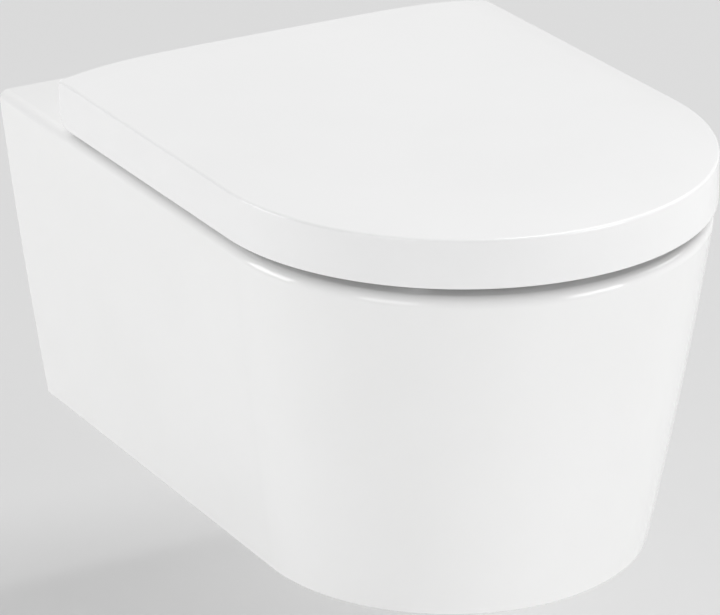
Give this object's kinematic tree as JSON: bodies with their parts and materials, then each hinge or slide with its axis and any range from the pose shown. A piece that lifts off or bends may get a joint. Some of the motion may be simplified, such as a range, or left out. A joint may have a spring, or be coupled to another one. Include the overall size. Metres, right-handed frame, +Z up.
{
  "type": "wall hung toilet",
  "caption": "Wall hung toilet: D-shaped shrouded ceramic pan on hidden wall fixings, with a soft-closing wrap-over lid and seat ring.",
  "frame": {"origin": "in the wall plane, midway between the two wall studs", "axes": "+Y into the wall, -Y to the front, +Z up, +X to the right as seen from the front"},
  "size_m": [0.3608, 0.5426, 0.3042],
  "materials": {
    "glaze": "gloss white glaze",
    "seat_white": "gloss white moulded resin",
    "cap_white": "gloss white",
    "buffer": "soft pale grey rubber",
    "plug_rubber": "black rubber",
    "steel": "satin stainless",
    "zinc": "bright zinc plated",
    "brass": "turned brass",
    "chrome": "polished chrome",
    "damper": "grey moulded housing",
    "button_grey": "grey moulded button",
    "nylon": "natural nylon"
  },
  "bodies": {
    "pan": {"ceramic_pan": "glaze", "hinge_gaskets": "buffer", "hinge_screws": "steel", "plug_nuts": "brass", "clamp_screws": "zinc", "access_caps": "cap_white", "fixing_bush_left": "nylon", "fixing_sleeve_left": "zinc", "locking_collar_left": "zinc", "expansion_plug_left": "plug_rubber", "hinge_base_left": "chrome", "fixing_bush_right": "nylon", "fixing_sleeve_right": "zinc", "locking_collar_right": "zinc", "expansion_plug_right": "plug_rubber", "hinge_base_right": "chrome"},
    "seat_carrier": {"hinge_block_left": "chrome", "hinge_block_right": "chrome", "button_spring_left": "steel", "button_spring_right": "steel", "seat_pivot_pin": "steel", "seat_damper_shaft": "steel", "lid_pivot_pin": "steel", "lid_damper_shaft": "steel"},
    "seat": {"seat_ring": "seat_white", "seat_buffers": "buffer", "seat_damper_body": "damper"},
    "lid": {"lid": "seat_white", "lid_buffers": "buffer", "lid_damper_body": "damper"},
    "button_left": {"release_button_left": "button_grey"},
    "button_right": {"release_button_right": "button_grey"}
  },
  "joints": [
    {"name": "seat_lift_off", "type": "slide", "parent": "pan", "child": "seat_carrier", "axis": [0, 0, 1], "range_m": [0, 0.02]},
    {"name": "seat_hinge", "type": "hinge", "parent": "seat_carrier", "child": "seat", "pos_m": [0, -0.1247, 0.1035], "axis": [1, 0, 0], "range_deg": [-95, 0]},
    {"name": "lid_hinge", "type": "hinge", "parent": "seat", "child": "lid", "pos_m": [0, -0.1247, 0.1035], "axis": [-1, 0, 0], "range_deg": [0, 98]},
    {"name": "left_button_press", "type": "slide", "parent": "seat_carrier", "child": "button_left", "axis": [0, -1, 0], "range_m": [0, 0.0015], "stiffness_N_per_m": 300, "springref_m": -0.004, "deforming": ["button_spring_left"]},
    {"name": "right_button_press", "type": "slide", "parent": "seat_carrier", "child": "button_right", "axis": [0, -1, 0], "range_m": [0, 0.0015], "stiffness_N_per_m": 300, "springref_m": -0.004, "deforming": ["button_spring_right"]}
  ]
}
